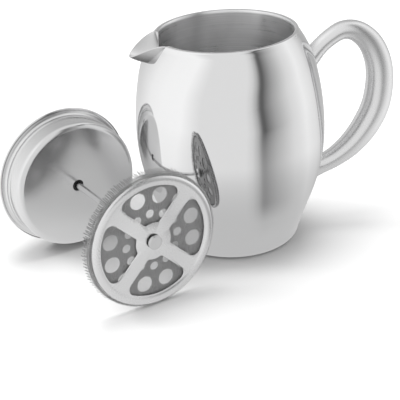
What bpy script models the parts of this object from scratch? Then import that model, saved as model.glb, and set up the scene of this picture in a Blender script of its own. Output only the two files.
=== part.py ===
"""Stainless steel french press: a double-wall pot standing upright, its lid and plunger taken out and lying
beside it. Metres, +Z up. The pot's axis is Z, its handle points along +X and its spout along -X."""

import math

import bmesh
import bpy
from mathutils import Matrix, Vector

# Pot
POT_HEIGHT = 0.1650
BORE_RADIUS = 0.0500
BELLY_RADIUS = 0.0709
BELLY_HEIGHT = 0.0900
UPPER_ARC_RADIUS = 0.2070
LOWER_ARC_RADIUS = 0.1410
CONE_TOP_HEIGHT = 0.0320
NECK_HEIGHT = 0.1360
NECK_TAPER = 5.2
SHOULDER_HEIGHT = 0.1632
FOOT_RADIUS = 0.0400
FOOT_CORNER_HEIGHT = 0.0085
SHEET = 0.0008
LINER_FLOOR_HEIGHT = 0.0095
LINER_CORNER_RADIUS = 0.0100
BASE_DISC_RADIUS = 0.0390
BASE_DISC_THICKNESS = 0.0012
GAP = 0.0003

# Spout
SPOUT_REACH = 0.0722
SPOUT_HALF_ANGLE = math.radians(22.0)
SPOUT_TIP_HEIGHT = 0.1548
SPOUT_ROOT_HEIGHT = 0.1485
SPOUT_SHEET = 0.0010

# Handle: stations along the tube as (distance from the pot's axis, height, tube radius)
HANDLE_STATIONS = (
    (0.0600, 0.1300, 0.0062),
    (0.0695, 0.1405, 0.0063),
    (0.0790, 0.1482, 0.0065),
    (0.0900, 0.1532, 0.0070),
    (0.1015, 0.1508, 0.0080),
    (0.1120, 0.1405, 0.0092),
    (0.1182, 0.1250, 0.0101),
    (0.1192, 0.1075, 0.0106),
    (0.1158, 0.0895, 0.0108),
    (0.1072, 0.0735, 0.0104),
    (0.0955, 0.0605, 0.0093),
    (0.0820, 0.0515, 0.0079),
    (0.0700, 0.0468, 0.0072),
    (0.0600, 0.0440, 0.0070),
)
HANDLE_WALL = 0.0011
PAD_RADIUS = 0.0110
PAD_THICKNESS = 0.0010
PAD_HEIGHTS = (0.1375, 0.0470)

# Lid, in its own frame: the flange's underside is at height 0 and the knob's end is up
FLANGE_RADIUS = 0.0541
FLANGE_EDGE_RADIUS = 0.0009
DOME_HEIGHT = 0.0180
SKIRT_RADIUS = 0.0494
LID_DEPTH = 0.0230
LID_CORNER_RADIUS = 0.0050
ROD_HOLE_RADIUS = 0.0043

# Plunger, along the lid's axis
ROD_RADIUS = 0.0025
ROD_TOP = 0.0560
ROD_CLEARANCE = 0.0003
KNOB_RADIUS = 0.0125
KNOB_CENTRE = 0.0515
FILTER_DROP = 0.1119
FILTER_RADIUS = 0.0504
CROSS_PLATE_RADIUS = 0.0483
WINDOW_INNER = 0.0140
WINDOW_OUTER = 0.0415
WINDOW_CORNER = 0.0055
SPOKE_WIDTH = 0.0108
SPOKE_ANGLE = math.radians(44.0)
HOLES_PER_ROW = 12
OUTER_HOLE_CIRCLE = 0.0335
OUTER_HOLE_RADIUS = 0.0060
INNER_HOLE_CIRCLE = 0.0205
INNER_HOLE_RADIUS = 0.0033
COIL_RADIUS = 0.0018

# Where the lid's assembly lies: its flange centre in plan and the way the plunger points
LID_X = -0.1247
LID_Y = 0.0353
LID_YAW = math.radians(-71.35)

# Resolution
SEGMENTS = 48
SMALL_SEGMENTS = 24

STEEL = {
    "mirror_steel": ((0.86, 0.86, 0.87), 0.06),
    "brushed_liner": ((0.60, 0.60, 0.60), 0.30),
    "satin_spout": ((0.80, 0.80, 0.80), 0.28),
    "base_steel": ((0.72, 0.72, 0.72), 0.30),
    "satin_handle": ((0.70, 0.70, 0.71), 0.25),
    "pad_steel": ((0.55, 0.55, 0.55), 0.40),
    "lid_mirror": ((0.86, 0.86, 0.86), 0.07),
    "lid_cup_steel": ((0.80, 0.80, 0.81), 0.10),
    "collar_steel": ((0.78, 0.78, 0.78), 0.15),
    "rod_steel": ((0.78, 0.78, 0.79), 0.12),
    "stop_steel": ((0.74, 0.74, 0.74), 0.22),
    "knob_steel": ((0.84, 0.84, 0.85), 0.08),
    "insert_steel": ((0.62, 0.62, 0.62), 0.35),
    "spiral_steel": ((0.66, 0.66, 0.66), 0.28),
    "coil_steel": ((0.70, 0.70, 0.71), 0.18),
    "mesh_steel": ((0.52, 0.52, 0.52), 0.42),
    "cross_steel": ((0.76, 0.76, 0.76), 0.24),
    "nut_steel": ((0.80, 0.80, 0.80), 0.20),
}


def clear_scene():
    for obj in list(bpy.data.objects):
        bpy.data.objects.remove(obj, do_unlink=True)


def steel(name):
    colour, roughness = STEEL[name]
    material = bpy.data.materials.new(name)
    material.use_nodes = True
    shader = material.node_tree.nodes["Principled BSDF"]
    shader.inputs["Base Color"].default_value = (*colour, 1.0)
    shader.inputs["Metallic"].default_value = 1.0
    shader.inputs["Roughness"].default_value = roughness
    material.diffuse_color = (*colour, 1.0)
    return material


def plastic(name, colour, roughness):
    material = bpy.data.materials.new(name)
    material.use_nodes = True
    shader = material.node_tree.nodes["Principled BSDF"]
    shader.inputs["Base Color"].default_value = (*colour, 1.0)
    shader.inputs["Metallic"].default_value = 0.0
    shader.inputs["Roughness"].default_value = roughness
    material.diffuse_color = (*colour, 1.0)
    return material


def add_object(name, mesh_data, material, frame=None):
    """Makes the named object from a bmesh, shaded smooth with its sharp corners kept."""
    bmesh.ops.recalc_face_normals(mesh_data, faces=mesh_data.faces)
    mesh = bpy.data.meshes.new(name)
    mesh_data.to_mesh(mesh)
    mesh_data.free()
    if material is not None:
        mesh.materials.append(material)
    mesh.shade_smooth()
    mesh.set_sharp_from_angle(angle=math.radians(35.0))
    obj = bpy.data.objects.new(name, mesh)
    bpy.context.scene.collection.objects.link(obj)
    if frame is not None:
        obj.parent = frame
    return obj


def add_empty(name, matrix, parent=None):
    empty = bpy.data.objects.new(name, None)
    empty.empty_display_size = 0.01
    bpy.context.scene.collection.objects.link(empty)
    if parent is not None:
        empty.parent = parent
    empty.matrix_local = matrix
    return empty


def lathe(profile, segments, is_loop=True):
    """Turns (radius, height) points about Z. A loop closes on itself, an open one ends on the axis."""
    mesh_data = bmesh.new()
    rings = []
    for radius, height in profile:
        if radius < 1e-7:
            rings.append([mesh_data.verts.new((0.0, 0.0, height))])
            continue
        ring = []
        for step in range(segments):
            turn = 2.0 * math.pi * step / segments
            ring.append(mesh_data.verts.new((radius * math.cos(turn), radius * math.sin(turn), height)))
        rings.append(ring)
    count = len(rings)
    for index in range(count if is_loop else count - 1):
        join_rings(mesh_data, rings[index], rings[(index + 1) % count])
    return mesh_data


def join_rings(mesh_data, first, second):
    segments = max(len(first), len(second))
    for step in range(segments):
        following = (step + 1) % segments
        if len(first) == 1:
            mesh_data.faces.new((first[0], second[step], second[following]))
        elif len(second) == 1:
            mesh_data.faces.new((first[step], second[0], first[following]))
        else:
            mesh_data.faces.new((first[step], second[step], second[following], first[following]))


def arc(centre_r, centre_z, radius, start, end, steps):
    """Points on an arc, its angles in degrees from the outward radius towards +Z."""
    points = []
    for step in range(steps + 1):
        turn = math.radians(start + (end - start) * step / steps)
        points.append((centre_r + radius * math.cos(turn), centre_z + radius * math.sin(turn)))
    return points


def sheet_loop(face, thickness):
    """A closed profile: the given face, then the same line moved to its left by the sheet's thickness."""
    back = []
    for index, (radius, height) in enumerate(face):
        before = face[max(index - 1, 0)]
        after = face[min(index + 1, len(face) - 1)]
        along_r = after[0] - before[0]
        along_z = after[1] - before[1]
        length = math.hypot(along_r, along_z)
        back.append((radius - along_z / length * thickness, height + along_r / length * thickness))
    return list(face) + back[::-1]


def barrel_radius(height):
    """The pot's outer radius between its foot and its shoulder. Above the neck's start it draws in faster."""
    if height >= BELLY_HEIGHT:
        rise = height - BELLY_HEIGHT
        neck = NECK_TAPER * max(height - NECK_HEIGHT, 0.0) ** 2
        return BELLY_RADIUS - (UPPER_ARC_RADIUS - math.sqrt(UPPER_ARC_RADIUS**2 - rise**2)) - neck
    if height >= CONE_TOP_HEIGHT:
        drop = BELLY_HEIGHT - height
        return BELLY_RADIUS - (LOWER_ARC_RADIUS - math.sqrt(LOWER_ARC_RADIUS**2 - drop**2))
    drop = BELLY_HEIGHT - CONE_TOP_HEIGHT
    slope = drop / math.sqrt(LOWER_ARC_RADIUS**2 - drop**2)
    start = BELLY_RADIUS - (LOWER_ARC_RADIUS - math.sqrt(LOWER_ARC_RADIUS**2 - drop**2))
    return start - slope * 0.86 * (CONE_TOP_HEIGHT - height)


def shell_face():
    """The outer shell's outer face, from the foot's inner edge up to the rim."""
    face = [(FOOT_RADIUS - 0.0006, 0.0), (FOOT_RADIUS, 0.0)]
    corner_radius = barrel_radius(FOOT_CORNER_HEIGHT) - FOOT_RADIUS
    for step in range(1, 4):
        turn = math.pi / 2.0 * step / 4.0
        face.append(
            (
                FOOT_RADIUS + corner_radius * math.sin(turn),
                FOOT_CORNER_HEIGHT * (1.0 - math.cos(turn)),
            )
        )
    levels = 14
    for step in range(levels + 1):
        height = FOOT_CORNER_HEIGHT + (SHOULDER_HEIGHT - FOOT_CORNER_HEIGHT) * step / levels
        face.append((barrel_radius(height), height))
    crest = BORE_RADIUS + SHEET + GAP + 0.0006
    shoulder_radius = barrel_radius(SHOULDER_HEIGHT) - crest
    shoulder_rise = POT_HEIGHT - SHOULDER_HEIGHT
    for step in range(1, 6):
        turn = math.pi / 2.0 * step / 5.0
        height = SHOULDER_HEIGHT + shoulder_rise * math.sin(turn)
        face.append((crest + shoulder_radius * math.cos(turn), height))
    face.append((crest - 0.0006, POT_HEIGHT))
    return face


def spout_point(across, out):
    """A point of the spout's inner face: across runs -1..1 edge to edge, out 0..1 from bore to lip."""
    turn = SPOUT_HALF_ANGLE * across
    rise = abs(across) ** 5
    root = Vector(
        (
            -BORE_RADIUS * math.cos(turn),
            BORE_RADIUS * math.sin(turn),
            SPOUT_ROOT_HEIGHT + (POT_HEIGHT - SPOUT_ROOT_HEIGHT) * rise,
        )
    )
    corner = BORE_RADIUS + 0.0030
    bell = 0.5 + 0.5 * math.cos(math.pi * max(-1.0, min(1.0, across)))
    start_x = corner * math.cos(SPOUT_HALF_ANGLE)
    lip = Vector(
        (
            -(start_x + (SPOUT_REACH - start_x) * bell**0.65),
            corner * math.sin(turn),
            POT_HEIGHT + (SPOUT_TIP_HEIGHT - POT_HEIGHT) * bell**1.1,
        )
    )
    point = root.lerp(lip, out)
    sag = 0.0042 * 4.0 * max(out, 0.0) * max(1.0 - out, 0.0) * (1.0 - abs(across) ** 3)
    return point - Vector((0.0, 0.0, sag * 0.5))


def spout_normal(across, out):
    """The outward side of the spout's sheet, which faces down and away from the channel."""
    step = 0.004
    side = spout_point(across + step, out) - spout_point(across - step, out)
    ahead = spout_point(across, out + step) - spout_point(across, out - step)
    return -side.cross(ahead).normalized()


def grid_solid(lower, upper):
    """A closed body between two grids of points with the same numbers of rows and columns."""
    mesh_data = bmesh.new()
    sides = []
    for grid in (lower, upper):
        sides.append([[mesh_data.verts.new(point) for point in row] for row in grid])
    rows = len(lower)
    columns = len(lower[0])
    for side in sides:
        for row in range(rows - 1):
            for column in range(columns - 1):
                near = side[row][column : column + 2]
                far = side[row + 1][column : column + 2]
                mesh_data.faces.new((near[0], near[1], far[1], far[0]))
    edge = [(0, column) for column in range(columns)]
    edge += [(row, columns - 1) for row in range(1, rows)]
    edge += [(rows - 1, column) for column in range(columns - 2, -1, -1)]
    edge += [(row, 0) for row in range(rows - 2, 0, -1)]
    low, high = sides
    for index, (row, column) in enumerate(edge):
        next_row, next_column = edge[(index + 1) % len(edge)]
        mesh_data.faces.new(
            (low[row][column], low[next_row][next_column], high[next_row][next_column], high[row][column])
        )
    return mesh_data


def spout_grid(offset, reach_in, reach_out, side_reach, columns, rows):
    grid = []
    for row in range(rows + 1):
        out = -reach_in + (1.0 + reach_in + reach_out) * row / rows
        line = []
        for column in range(columns + 1):
            across = (-1.0 + 2.0 * column / columns) * side_reach
            line.append(spout_point(across, out) + spout_normal(across, out) * offset)
        grid.append(line)
    return grid


def add_cut(target, cutter, label):
    modifier = target.modifiers.new(label, "BOOLEAN")
    modifier.operation = "DIFFERENCE"
    modifier.solver = "EXACT"
    modifier.object = cutter
    cutter.hide_render = True
    cutter.display_type = "WIRE"


def build_spout_cutter():
    """The room the spout needs in both walls: everything above its underside, with the joint's gap."""
    lower = spout_grid(SPOUT_SHEET + GAP + 0.0001, 0.30, 0.02, 1.0, 22, 8)
    for point in lower[-1]:
        outward = Vector((point.x, point.y, 0.0)).normalized()
        point += outward * 0.0008
    upper = [[Vector((point.x, point.y, POT_HEIGHT + 0.02)) for point in row] for row in lower]
    return add_object("spout_cutter", grid_solid(lower, upper), None)


def build_pot(spout_cutter):
    shell_mesh = lathe(sheet_loop(shell_face(), SHEET), SEGMENTS)
    shell = add_object("pot_outer_shell", shell_mesh, steel("mirror_steel"))
    add_cut(shell, spout_cutter, "spout opening")

    outer = BORE_RADIUS + SHEET
    corner = LINER_CORNER_RADIUS
    bottom = LINER_FLOOR_HEIGHT - SHEET
    wall = [(0.0, bottom)]
    wall += arc(outer - corner, bottom + corner, corner, -90.0, 0.0, 5)
    wall += [(outer, POT_HEIGHT * 0.45), (outer, POT_HEIGHT * 0.75), (outer, POT_HEIGHT)]
    inside = [(BORE_RADIUS, POT_HEIGHT), (BORE_RADIUS, POT_HEIGHT * 0.75), (BORE_RADIUS, POT_HEIGHT * 0.45)]
    inside += arc(outer - corner, bottom + corner, corner - SHEET, 0.0, -90.0, 5)
    inside += [(0.0, LINER_FLOOR_HEIGHT)]
    liner = add_object("pot_inner_liner", lathe(wall + inside, SEGMENTS, False), steel("brushed_liner"))
    add_cut(liner, spout_cutter, "spout opening")

    top = BASE_DISC_THICKNESS
    disc = [(0.0, 0.0), (BASE_DISC_RADIUS, 0.0), (BASE_DISC_RADIUS, top)]
    disc.append((BASE_DISC_RADIUS - 0.003, top + 0.0012))
    disc += [(0.0, top + 0.0012)]
    add_object("pot_base_disc", lathe(disc, SEGMENTS, False), steel("base_steel"))

    inner_face = spout_grid(0.0, 0.0, 0.0, 0.98, 22, 6)
    outer_face = spout_grid(SPOUT_SHEET, 0.0, 0.0, 0.98, 22, 6)
    add_object("pot_spout", grid_solid(inner_face, outer_face), steel("satin_spout"))


def handle_curve():
    """The handle's stations joined by a smooth curve, as (point, direction, radius) at even steps."""
    stations = HANDLE_STATIONS
    samples = []
    for index in range(1, len(stations) - 2):
        steps = 2
        for step in range(steps):
            samples.append(spline_point(stations, index, step / steps))
    samples.append(spline_point(stations, len(stations) - 3, 1.0))
    return samples


def spline_point(stations, index, share):
    """Catmull-Rom position between stations index and index + 1."""
    result = []
    for axis in range(3):
        p0, p1, p2, p3 = (stations[index + shift][axis] for shift in (-1, 0, 1, 2))
        linear = 2.0 * p1 + (p2 - p0) * share
        square = (2.0 * p0 - 5.0 * p1 + 4.0 * p2 - p3) * share**2
        cube = (3.0 * p1 - p0 - 3.0 * p2 + p3) * share**3
        result.append(0.5 * (linear + square + cube))
    return result


def tube_ring(mesh_data, samples, index, wall, segments):
    before = samples[max(index - 1, 0)]
    after = samples[min(index + 1, len(samples) - 1)]
    along = Vector((after[0] - before[0], 0.0, after[1] - before[1])).normalized()
    across = Vector((0.0, 1.0, 0.0))
    up = along.cross(across)
    centre = Vector((samples[index][0], 0.0, samples[index][1]))
    radius = samples[index][2] - wall
    ring = []
    for step in range(segments):
        turn = 2.0 * math.pi * step / segments
        ring.append(mesh_data.verts.new(centre + (across * math.cos(turn) + up * math.sin(turn)) * radius))
    return ring


def build_handle():
    """A bent, tapering tube, open at both roots, with its ends cut to the shell's curve."""
    samples = handle_curve()
    first = Vector(samples[0][:2]) - Vector(samples[1][:2])
    last = Vector(samples[-1][:2]) - Vector(samples[-2][:2])
    samples.insert(0, [samples[0][0] + first.x, samples[0][1] + first.y, samples[0][2]])
    samples.append([samples[-1][0] + last.x, samples[-1][1] + last.y, samples[-1][2]])
    mesh_data = bmesh.new()
    outside = [tube_ring(mesh_data, samples, index, 0.0, 18) for index in range(len(samples))]
    inside = [tube_ring(mesh_data, samples, index, HANDLE_WALL, 18) for index in range(len(samples))]
    rings = outside + inside[::-1]
    for index in range(len(rings)):
        join_rings(mesh_data, rings[index], rings[(index + 1) % len(rings)])
    handle = add_object("pot_handle", mesh_data, steel("satin_handle"))

    body = [(0.0, 0.0)]
    levels = 24
    for step in range(levels + 1):
        height = SHOULDER_HEIGHT * step / levels
        body.append((barrel_radius(height) + GAP, height))
    body.append((0.0, SHOULDER_HEIGHT))
    cutter = add_object("handle_cutter", lathe(body, 96, False), None)
    add_cut(handle, cutter, "fit to the shell")


def build_pads():
    """Backing pads fixed inside the shell behind the handle's two roots."""
    for name, height in zip(("handle_upper_pad", "handle_lower_pad"), PAD_HEIGHTS):
        grids = ([], [])
        rows = 8
        for row in range(rows + 1):
            level = -1.0 + 2.0 * row / rows
            half = math.sqrt(max(1.0 - level**2, 0.0)) * 0.75 + 0.25
            at = height + level * PAD_RADIUS
            for side, grid in enumerate(grids):
                radius = barrel_radius(at) - SHEET - GAP - 0.0004 - PAD_THICKNESS * side
                line = []
                for column in range(rows + 1):
                    turn = (-1.0 + 2.0 * column / rows) * half * PAD_RADIUS / radius
                    line.append(Vector((radius * math.cos(turn), radius * math.sin(turn), at)))
                grid.append(line)
        add_object(name, grid_solid(*grids), steel("pad_steel"))


def build_lid(frame):
    """The domed cover with its rolled edge, the cup under it, and the guides for the rod."""
    dome = []
    dome_edge = SKIRT_RADIUS + 0.0012
    base = 0.0013
    levels = 9
    for step in range(levels + 1):
        turn = math.asin(min(1.0, 0.0046 / dome_edge)) + (math.pi / 2.0 - 0.12) * step / levels
        height = base + (DOME_HEIGHT - base) * math.cos(turn)
        dome.append((dome_edge * math.sin(min(turn, math.pi / 2.0)), height))
    edge_r = FLANGE_RADIUS - FLANGE_EDGE_RADIUS
    face = dome + [(dome_edge + 0.0008, base + 0.0002)]
    face += arc(edge_r, base - FLANGE_EDGE_RADIUS * 0.6, FLANGE_EDGE_RADIUS, 80.0, -60.0, 3)
    cover = sheet_loop(face[::-1], 0.0007)
    add_object("lid_cover", lathe(cover, SEGMENTS), steel("lid_mirror"), frame)

    outer_r = FLANGE_RADIUS - FLANGE_EDGE_RADIUS - 0.0011
    cup = [(outer_r, 0.0), (SKIRT_RADIUS + 0.0006, 0.0), (SKIRT_RADIUS - 0.0004, -0.0010)]
    cup += [(SKIRT_RADIUS - 0.0004, -0.0038), (SKIRT_RADIUS + 0.0004, -0.0050), (SKIRT_RADIUS, -0.0064)]
    corner = LID_CORNER_RADIUS
    cup += arc(SKIRT_RADIUS - corner, corner - LID_DEPTH, corner, 0.0, -90.0, 5)
    cup += [(ROD_HOLE_RADIUS, -LID_DEPTH)]
    cup = sheet_loop(cup[::-1], 0.0007)
    add_object("lid_inner_cup", lathe(cup, SEGMENTS), steel("lid_cup_steel"), frame)

    bore = ROD_RADIUS + ROD_CLEARANCE
    face_top = -LID_DEPTH + 0.0007 + GAP
    neck = ROD_HOLE_RADIUS - GAP
    bush = [(bore, face_top + 0.0045), (bore, -LID_DEPTH + 0.0003)]
    bush += [(neck, -LID_DEPTH + 0.0003), (neck, face_top)]
    bush += [(0.0068, face_top), (0.0068, face_top + 0.0018), (0.0045, face_top + 0.0045)]
    black = plastic("bush_plastic", (0.03, 0.03, 0.03), 0.45)
    add_object("lid_rod_bush", lathe(bush, SMALL_SEGMENTS), black, frame)

    top = DOME_HEIGHT + GAP
    collar = [(bore, top + 0.0034), (bore, DOME_HEIGHT - 0.0040)]
    collar += [(0.0041, DOME_HEIGHT - 0.0040), (0.0041, top)]
    collar += [(0.0078, top), (0.0078, top + 0.0018), (0.0060, top + 0.0034)]
    add_object("lid_top_collar", lathe(collar, SMALL_SEGMENTS), steel("collar_steel"), frame)


def build_plunger(frame, knob_frame):
    """The rod, the stop collar above its filter, and the ball knob on its threaded insert."""
    plate = -LID_DEPTH - FILTER_DROP
    tip = plate - 0.0012
    rod = [(0.0, tip), (ROD_RADIUS - 0.0004, tip), (ROD_RADIUS, tip + 0.0004), (ROD_RADIUS, -LID_DEPTH)]
    rod += [(ROD_RADIUS, 0.0), (ROD_RADIUS, ROD_TOP - 0.0004), (ROD_RADIUS - 0.0004, ROD_TOP), (0.0, ROD_TOP)]
    add_object("plunger_rod", lathe(rod, SMALL_SEGMENTS, False), steel("rod_steel"), frame)

    bore = ROD_RADIUS + ROD_CLEARANCE
    low = plate + 0.0034
    stop = [(bore, low), (0.0065, low), (0.0065, low + 0.0030), (0.0055, low + 0.0040), (bore, low + 0.0040)]
    add_object("rod_stop_collar", lathe(stop, SMALL_SEGMENTS), steel("stop_steel"), frame)

    ball = []
    mouth = 0.0046
    foot = 0.0062
    start = math.degrees(math.acos(foot / KNOB_RADIUS))
    ball += arc(0.0, KNOB_CENTRE, KNOB_RADIUS, -start, 90.0, 14)[:-1]
    ball += [(0.0, KNOB_CENTRE + KNOB_RADIUS), (0.0, ROD_TOP + 0.0012), (mouth, ROD_TOP + 0.0012)]
    low = KNOB_CENTRE - math.sqrt(KNOB_RADIUS**2 - foot**2) - 0.0016
    ball += [(mouth, low), (foot - 0.0002, low)]
    add_object("plunger_knob", lathe_knob(ball), steel("knob_steel"), knob_frame)

    sleeve = [(bore, low + 0.0004), (mouth - GAP, low + 0.0004), (mouth - GAP, ROD_TOP - 0.0010)]
    sleeve += [(bore, ROD_TOP - 0.0010)]
    add_object("knob_insert", lathe(sleeve, SMALL_SEGMENTS), steel("insert_steel"), knob_frame)


def lathe_knob(loop):
    """The knob's profile starts and ends on the axis: crown first, then its skin, mouth and blind bore."""
    crown = loop.index(max(loop, key=lambda point: point[1]))
    skin = loop[: crown + 1][::-1]
    bore = loop[crown + 1 :]
    return lathe(skin + bore[::-1], SMALL_SEGMENTS, False)


def sector_outline(inner, outer, half_spoke, corner):
    """A quarter window between two spokes, with rounded corners, centred on +X."""
    outline = []
    start = math.atan2(half_spoke, outer)
    inner_start = math.asin(min(half_spoke / inner, 0.95))
    limit = math.pi / 4.0
    for step in range(9):
        turn = -(limit - start - corner / outer) + 2.0 * (limit - start - corner / outer) * step / 8.0
        outline.append((outer * math.cos(turn), outer * math.sin(turn)))
    upper = limit - math.asin(half_spoke / (outer - corner))
    shoulder = outer - corner * 0.30
    outline.append((shoulder * math.cos(upper - 0.028), shoulder * math.sin(upper - 0.028)))
    outline.append(((outer - corner) * math.cos(upper), (outer - corner) * math.sin(upper)))
    near = inner + corner * 0.6
    near_turn = limit - math.asin(half_spoke / near)
    outline.append((near * math.cos(near_turn), near * math.sin(near_turn)))
    low_turn = max(limit - inner_start - 0.12, 0.05)
    for step in range(5):
        turn = low_turn - 2.0 * low_turn * step / 4.0
        outline.append((inner * math.cos(turn), inner * math.sin(turn)))
    outline.append((near * math.cos(near_turn), -near * math.sin(near_turn)))
    outline.append(((outer - corner) * math.cos(upper), -(outer - corner) * math.sin(upper)))
    outline.append((shoulder * math.cos(upper - 0.028), -shoulder * math.sin(upper - 0.028)))
    return outline


def add_prism(mesh_data, outline, low, high, turn):
    """Adds a closed prism on the outline, turned about Z."""
    rotation = Matrix.Rotation(turn, 3, "Z")
    bottom = [mesh_data.verts.new(rotation @ Vector((x, y, low))) for x, y in outline]
    top = [mesh_data.verts.new(rotation @ Vector((x, y, high))) for x, y in outline]
    mesh_data.faces.new(bottom[::-1])
    mesh_data.faces.new(top)
    count = len(outline)
    for index in range(count):
        following = (index + 1) % count
        mesh_data.faces.new((bottom[index], bottom[following], top[following], top[index]))


def circle_outline(centre, radius, count):
    points = []
    for step in range(count):
        turn = 2.0 * math.pi * step / count
        points.append((centre + radius * math.cos(turn), radius * math.sin(turn)))
    return points


def build_filter(frame):
    """The stack on the rod's lower end: perforated plate with its coil, mesh, cross plate and nut."""
    plate = -LID_DEPTH - FILTER_DROP
    window_turn = SPOKE_ANGLE + math.pi / 4.0

    rim = CROSS_PLATE_RADIUS
    cross = [(0.0042, plate), (WINDOW_OUTER + 0.0012, plate), (rim - 0.0040, plate - 0.0009)]
    cross += [(rim - 0.0022, plate - 0.0010)]
    cross += [(rim - 0.0006, plate - 0.0004), (rim, plate + 0.0004)]
    cross += [(rim, plate + 0.0010), (0.0042, plate + 0.0010)]
    cross_plate = add_object("filter_cross_plate", lathe(cross, SEGMENTS), steel("cross_steel"), frame)
    cuts = bmesh.new()
    outline = sector_outline(WINDOW_INNER, WINDOW_OUTER, SPOKE_WIDTH / 2.0, WINDOW_CORNER)
    for window in range(4):
        add_prism(cuts, outline, plate - 0.005, plate + 0.0025, window_turn + window * math.pi / 2.0)
    window_cutter = add_object("window_cutter", cuts, None, frame)
    add_cut(cross_plate, window_cutter, "windows")

    low = plate + 0.0010 + GAP
    hole = ROD_RADIUS + ROD_CLEARANCE
    bend = CROSS_PLATE_RADIUS - 0.0016
    screen = [(0.0044, low), (bend, low), (FILTER_RADIUS, low + 0.0002), (FILTER_RADIUS, low + 0.0006)]
    screen += [(bend, low + 0.0004), (0.0044, low + 0.0004)]
    add_object("filter_mesh", lathe(screen, SEGMENTS), steel("mesh_steel"), frame)

    low = low + 0.0004 + GAP
    disc_edge = FILTER_RADIUS - 2.0 * COIL_RADIUS - GAP - 0.0012
    disc = [(0.0044, low), (disc_edge, low), (disc_edge + 0.0012, low + 0.0018)]
    disc += [(disc_edge + 0.0006, low + 0.0022), (disc_edge - 0.0004, low + 0.0008), (0.0044, low + 0.0008)]
    spiral = add_object("filter_spiral_plate", lathe(disc, SEGMENTS), steel("spiral_steel"), frame)
    cuts = bmesh.new()
    for index in range(HOLES_PER_ROW):
        turn = window_turn + 2.0 * math.pi * index / HOLES_PER_ROW
        half_pitch = math.pi / HOLES_PER_ROW
        large = circle_outline(OUTER_HOLE_CIRCLE, OUTER_HOLE_RADIUS, 16)
        small = circle_outline(INNER_HOLE_CIRCLE, INNER_HOLE_RADIUS, 10)
        add_prism(cuts, large, low - 0.002, low + 0.003, turn + half_pitch)
        add_prism(cuts, small, low - 0.002, low + 0.003, turn)
    hole_cutter = add_object("hole_cutter", cuts, None, frame)
    add_cut(spiral, hole_cutter, "holes")

    coil_r = FILTER_RADIUS - COIL_RADIUS
    ring = arc(coil_r, low + COIL_RADIUS + 0.0002, COIL_RADIUS, 0.0, 360.0, 10)[:-1]
    add_object("filter_coil", lathe(ring, SEGMENTS), steel("coil_steel"), frame)

    face = plate - GAP
    nut = [(0.0, face - 0.0030), (0.0046, face - 0.0030), (0.0052, face - 0.0024), (0.0052, face)]
    nut += [(0.0039, face), (0.0039, plate + 0.0026), (hole, plate + 0.0026), (hole, plate - 0.0016)]
    nut += [(0.0, plate - 0.0016)]
    add_object("filter_hub_nut", lathe(nut, SMALL_SEGMENTS, False), steel("nut_steel"), frame)


def lid_matrix():
    """The lid lies on its flange and on the filter's edge, so its axis dips by their difference in radius."""
    mesh_distance = LID_DEPTH + FILTER_DROP - 0.0010 - GAP
    tilt = math.atan((FLANGE_RADIUS - FILTER_RADIUS) / mesh_distance)
    along = Vector(
        (math.cos(LID_YAW) * math.cos(tilt), math.sin(LID_YAW) * math.cos(tilt), -math.sin(tilt))
    )
    up = -along
    side = Vector((0.0, 0.0, 1.0)).cross(up).normalized()
    other = up.cross(side)
    height = FLANGE_RADIUS * math.cos(tilt) + 0.0001
    matrix = Matrix((side, other, up)).transposed().to_4x4()
    matrix.translation = Vector((LID_X, LID_Y, height))
    return matrix


def main():
    clear_scene()
    cutter = build_spout_cutter()
    build_pot(cutter)
    build_handle()
    build_pads()
    lid_frame = add_empty("lid_frame", lid_matrix())
    plunger_frame = add_empty("plunger_frame", Matrix.Identity(4), lid_frame)
    knob_frame = add_empty("knob_frame", Matrix.Identity(4), plunger_frame)
    filter_frame = add_empty("filter_frame", Matrix.Identity(4), plunger_frame)
    build_lid(lid_frame)
    build_plunger(plunger_frame, knob_frame)
    build_filter(filter_frame)


main()
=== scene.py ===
"""Looks of the stainless steel french press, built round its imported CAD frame. Metres, +Z up."""

import math

import bmesh
import bpy
from mathutils import Matrix, Vector


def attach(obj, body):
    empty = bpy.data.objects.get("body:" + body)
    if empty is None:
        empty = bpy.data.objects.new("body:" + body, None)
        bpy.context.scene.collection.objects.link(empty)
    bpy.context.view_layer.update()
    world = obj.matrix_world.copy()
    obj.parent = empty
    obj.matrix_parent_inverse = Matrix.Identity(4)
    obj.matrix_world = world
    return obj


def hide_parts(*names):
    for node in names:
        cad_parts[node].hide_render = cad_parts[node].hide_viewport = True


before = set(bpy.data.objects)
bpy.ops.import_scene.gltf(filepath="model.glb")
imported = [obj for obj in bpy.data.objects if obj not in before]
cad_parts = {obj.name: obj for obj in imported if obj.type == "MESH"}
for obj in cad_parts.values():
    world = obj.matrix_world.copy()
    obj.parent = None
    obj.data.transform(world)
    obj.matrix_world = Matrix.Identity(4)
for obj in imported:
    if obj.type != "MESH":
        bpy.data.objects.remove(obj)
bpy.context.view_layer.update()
scene = bpy.context.scene

# ---------------------------------------------------------------- outer shell
# The pot's outer wall: one deep-drawn barrel of 0.8 mm stainless sheet, rolled in at the foot and over at the
# shoulder, welded to the liner at the rim and buffed to a mirror. Fine swirls and faint waviness remain.

POT_HEIGHT = 0.1650
BORE = 0.0500
SHEET = 0.0008
BELLY = 0.0709
BELLY_Z = 0.0900
UPPER_ARC = 0.2070
LOWER_ARC = 0.1410
CONE_TOP = 0.0320
NECK = 0.1360
NECK_TAPER = 5.2
SHOULDER = 0.1632
FOOT = 0.0400
FOOT_Z = 0.0085
JOINT_GAP = 0.0001


def node(tree, kind, **settings):
    """Adds a shader node; names with a leading underscore set the node, the others its input sockets."""
    made = tree.nodes.new(kind)
    for key, value in settings.items():
        if key.startswith("_"):
            setattr(made, key[1:], value)
        else:
            made.inputs[key.replace("__", " ")].default_value = value
    return made


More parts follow.
